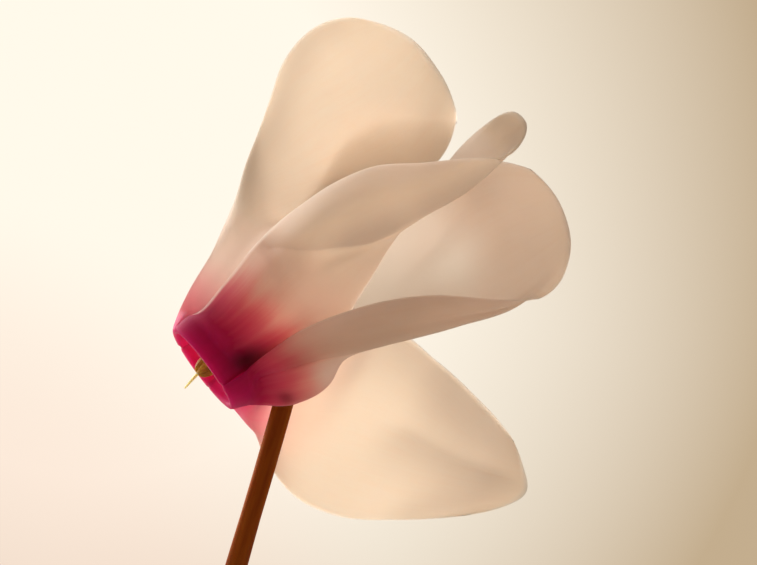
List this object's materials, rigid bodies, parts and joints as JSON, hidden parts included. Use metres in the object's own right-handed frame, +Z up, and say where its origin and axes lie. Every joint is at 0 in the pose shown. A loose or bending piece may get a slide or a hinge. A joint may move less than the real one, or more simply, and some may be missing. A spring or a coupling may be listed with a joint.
{
  "type": "potted cyclamen",
  "caption": "Flowering cyclamen in a plain terracotta pot: heart-shaped marbled leaves around nodding blooms with swept-back pale petals and crimson mouths.",
  "frame": {"origin": "centre of the pot's flat underside", "axes": "+Z up out of the pot, +X towards the side the tall bloom leans to, -Y towards the side the picture is taken from"},
  "size_m": [0.2081, 0.2061, 0.3351],
  "materials": {
    "pot": "matte",
    "compost": "matte",
    "corm": "matte",
    "leaf": "satin",
    "stalk": "satin",
    "calyx": "satin",
    "petal": "satin",
    "stamen_and_style": "satin",
    "bud": "satin"
  },
  "bodies": {
    "root": {"bloom_1_anther_cone": "stamen_and_style", "bloom_1_calyx": "calyx", "bloom_1_petal_1": "petal", "bloom_1_petal_2": "petal", "bloom_1_petal_3": "petal", "bloom_1_petal_4": "petal", "bloom_1_petal_5": "petal", "bloom_1_stalk": "stalk", "bloom_1_style": "stamen_and_style", "bloom_2_calyx": "calyx", "bloom_2_petal_1": "petal", "bloom_2_petal_2": "petal", "bloom_2_petal_3": "petal", "bloom_2_petal_4": "petal", "bloom_2_petal_5": "petal", "bloom_2_pistil": "stamen_and_style", "bloom_2_stalk": "stalk", "bloom_3_calyx": "calyx", "bloom_3_petal_1": "petal", "bloom_3_petal_2": "petal", "bloom_3_petal_3": "petal", "bloom_3_petal_4": "petal", "bloom_3_petal_5": "petal", "bloom_3_pistil": "stamen_and_style", "bloom_3_stalk": "stalk", "bloom_4_calyx": "calyx", "bloom_4_petal_1": "petal", "bloom_4_petal_2": "petal", "bloom_4_petal_3": "petal", "bloom_4_petal_4": "petal", "bloom_4_petal_5": "petal", "bloom_4_pistil": "stamen_and_style", "bloom_4_stalk": "stalk", "bud_1": "bud", "bud_1_stalk": "stalk", "bud_2": "bud", "bud_2_stalk": "stalk", "bud_3": "bud", "bud_3_stalk": "stalk", "compost": "compost", "corm": "corm", "leaf_01": "leaf", "leaf_02": "leaf", "leaf_03": "leaf", "leaf_04": "leaf", "leaf_05": "leaf", "leaf_06": "leaf", "leaf_07": "leaf", "leaf_08": "leaf", "leaf_09": "leaf", "leaf_10": "leaf", "leaf_11": "leaf", "leaf_12": "leaf", "leaf_13": "leaf", "leaf_14": "leaf", "leaf_15": "leaf", "leaf_16": "leaf", "leaf_17": "leaf", "leaf_18": "leaf", "pot": "pot"}
  },
  "joints": []
}
